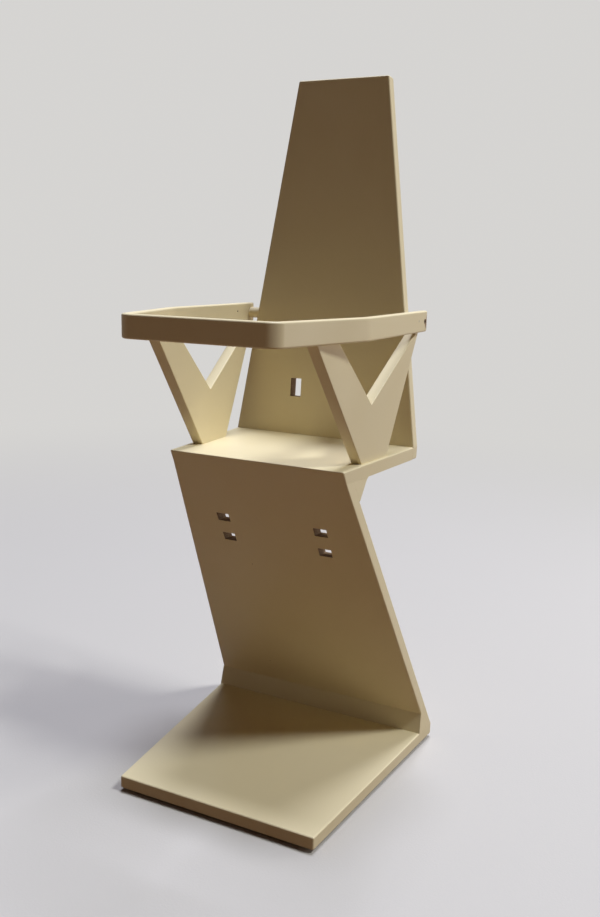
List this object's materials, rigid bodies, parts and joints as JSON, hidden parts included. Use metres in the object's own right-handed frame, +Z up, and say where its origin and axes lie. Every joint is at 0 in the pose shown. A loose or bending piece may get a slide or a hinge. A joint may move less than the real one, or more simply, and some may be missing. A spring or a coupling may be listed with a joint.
{
  "type": "child high chair",
  "caption": "Tall child's chair of flat painted boards set in a zigzag, with V-shaped arm supports and a bent guard rail that swings up and over the tapering back.",
  "frame": {"origin": "on the floor, at the middle of the object's box", "axes": "+Z up, -Y towards the front of the chair, +X to the right of someone who faces the chair"},
  "size_m": [0.3682, 0.4204, 0.9999],
  "materials": {
    "painted_board": "pale ivory eggshell paint on wood",
    "painted_rail": "pale ivory eggshell paint on bent wood",
    "dowel": "bare beech",
    "screw": "dull dark steel",
    "glide": "dark pressed felt"
  },
  "bodies": {
    "chair_frame": {"base_board": "painted_board", "leg_board": "painted_board", "seat_board": "painted_board", "back_board": "painted_board", "lower_corner_block": "painted_board", "upper_corner_block": "painted_board", "left_arm_support": "painted_board", "right_arm_support": "painted_board", "left_pivot_spacer": "painted_rail", "right_pivot_spacer": "painted_rail", "left_pivot_screw": "screw", "right_pivot_screw": "screw", "leg_foot_dowel_1": "dowel", "leg_foot_dowel_2": "dowel", "leg_foot_dowel_3": "dowel", "leg_foot_dowel_4": "dowel", "leg_top_dowel_1": "dowel", "leg_top_dowel_2": "dowel", "leg_top_dowel_3": "dowel", "leg_top_dowel_4": "dowel", "back_dowel_1": "dowel", "back_dowel_2": "dowel", "back_dowel_3": "dowel", "back_dowel_4": "dowel", "back_dowel_5": "dowel", "left_arm_dowel_1": "dowel", "left_arm_dowel_2": "dowel", "right_arm_dowel_1": "dowel", "right_arm_dowel_2": "dowel", "lower_block_screw_1": "screw", "lower_block_screw_2": "screw", "lower_block_screw_3": "screw", "upper_block_screw_1": "screw", "upper_block_screw_2": "screw", "upper_block_screw_3": "screw", "front_left_glide": "glide", "front_right_glide": "glide", "rear_left_glide": "glide", "rear_right_glide": "glide"},
    "guard_rail": {"guard_rail": "painted_rail"}
  },
  "joints": [
    {"name": "rail_swing", "type": "hinge", "parent": "chair_frame", "child": "guard_rail", "pos_m": [0, 0.17296, 0.6585], "axis": [-1, 0, 0], "range_deg": [0, 255]}
  ]
}
